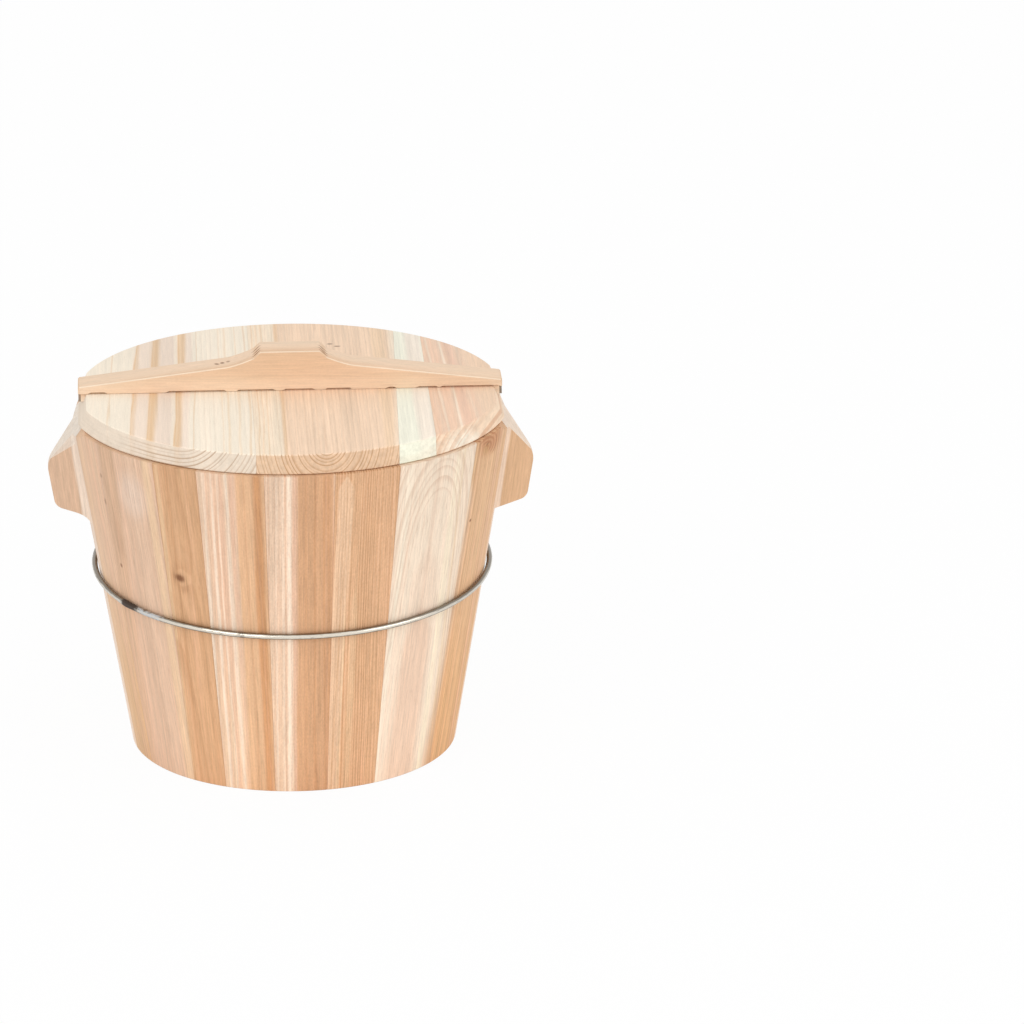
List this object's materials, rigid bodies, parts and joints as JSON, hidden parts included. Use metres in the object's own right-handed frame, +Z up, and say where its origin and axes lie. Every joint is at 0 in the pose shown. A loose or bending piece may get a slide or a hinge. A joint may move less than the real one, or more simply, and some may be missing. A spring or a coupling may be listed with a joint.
{
  "type": "wooden rice steamer",
  "caption": "Tapered coopered wooden rice steamer with carved side lugs, a round wire hoop, a plank lid on a dovetailed batten handle, and a lift-out slatted grate.",
  "frame": {"origin": "centre of the base, on the surface that the steamer stands on", "axes": "+Z up along the axis, +X through the right-hand lug and along the lid batten, -Y towards the front"},
  "size_m": [0.3574, 0.3256, 0.3017],
  "materials": {
    "tan_fir": "sanded, unfinished",
    "pink_fir": "sanded, unfinished",
    "brown_fir": "sanded, unfinished",
    "pale_fir": "sanded, unfinished",
    "cream_fir": "sanded, unfinished",
    "handle_fir": "sanded, unfinished",
    "lid_fir_pale": "sanded, unfinished",
    "lid_fir_tan": "sanded, unfinished",
    "lid_fir_pink": "sanded, unfinished",
    "batten_fir": "sanded, unfinished",
    "grate_fir": "sanded, unfinished",
    "bamboo": "sanded, unfinished",
    "steel_wire": "drawn steel wire, bright, dark heat mark at the weld"
  },
  "bodies": {
    "bucket": {"front_stave_1": "tan_fir", "front_stave_2": "pink_fir", "front_stave_3": "brown_fir", "front_stave_4": "pale_fir", "front_stave_5": "pink_fir", "front_stave_6": "brown_fir", "front_stave_7": "cream_fir", "front_stave_8": "tan_fir", "left_handle_stave": "handle_fir", "right_handle_stave": "handle_fir", "back_stave_1": "tan_fir", "back_stave_2": "cream_fir", "back_stave_3": "brown_fir", "back_stave_4": "pink_fir", "back_stave_5": "pale_fir", "back_stave_6": "brown_fir", "back_stave_7": "pink_fir", "back_stave_8": "tan_fir", "stave_pin_1": "bamboo", "stave_pin_2": "bamboo", "stave_pin_3": "bamboo", "stave_pin_4": "bamboo", "stave_pin_5": "bamboo", "stave_pin_6": "bamboo", "stave_pin_7": "bamboo", "stave_pin_8": "bamboo", "stave_pin_9": "bamboo", "stave_pin_10": "bamboo", "stave_pin_11": "bamboo", "stave_pin_12": "bamboo", "stave_pin_13": "bamboo", "stave_pin_14": "bamboo", "stave_pin_15": "bamboo", "stave_pin_16": "bamboo", "stave_pin_17": "bamboo", "stave_pin_18": "bamboo", "grate_peg_1": "bamboo", "grate_peg_2": "bamboo", "grate_peg_3": "bamboo", "grate_peg_4": "bamboo", "wire_hoop": "steel_wire"},
    "lid": {"lid_plank_1": "lid_fir_pale", "lid_plank_2": "lid_fir_tan", "lid_plank_3": "lid_fir_pale", "lid_plank_4": "lid_fir_pink", "lid_pin_1": "bamboo", "lid_pin_2": "bamboo", "lid_pin_3": "bamboo", "lid_batten": "batten_fir"},
    "grate": {"grate_slat_1": "grate_fir", "grate_slat_2": "grate_fir", "grate_slat_3": "grate_fir", "grate_slat_4": "grate_fir", "grate_slat_5": "grate_fir", "grate_slat_6": "grate_fir", "grate_slat_7": "grate_fir", "grate_bearer_left": "grate_fir", "grate_bearer_right": "grate_fir"}
  },
  "joints": [
    {"name": "lid_lift", "type": "slide", "parent": "bucket", "child": "lid", "axis": [0, 0, 1], "range_m": [0, 0.3]},
    {"name": "grate_lift", "type": "slide", "parent": "bucket", "child": "grate", "axis": [0, 0, 1], "range_m": [0, 0.19]}
  ]
}
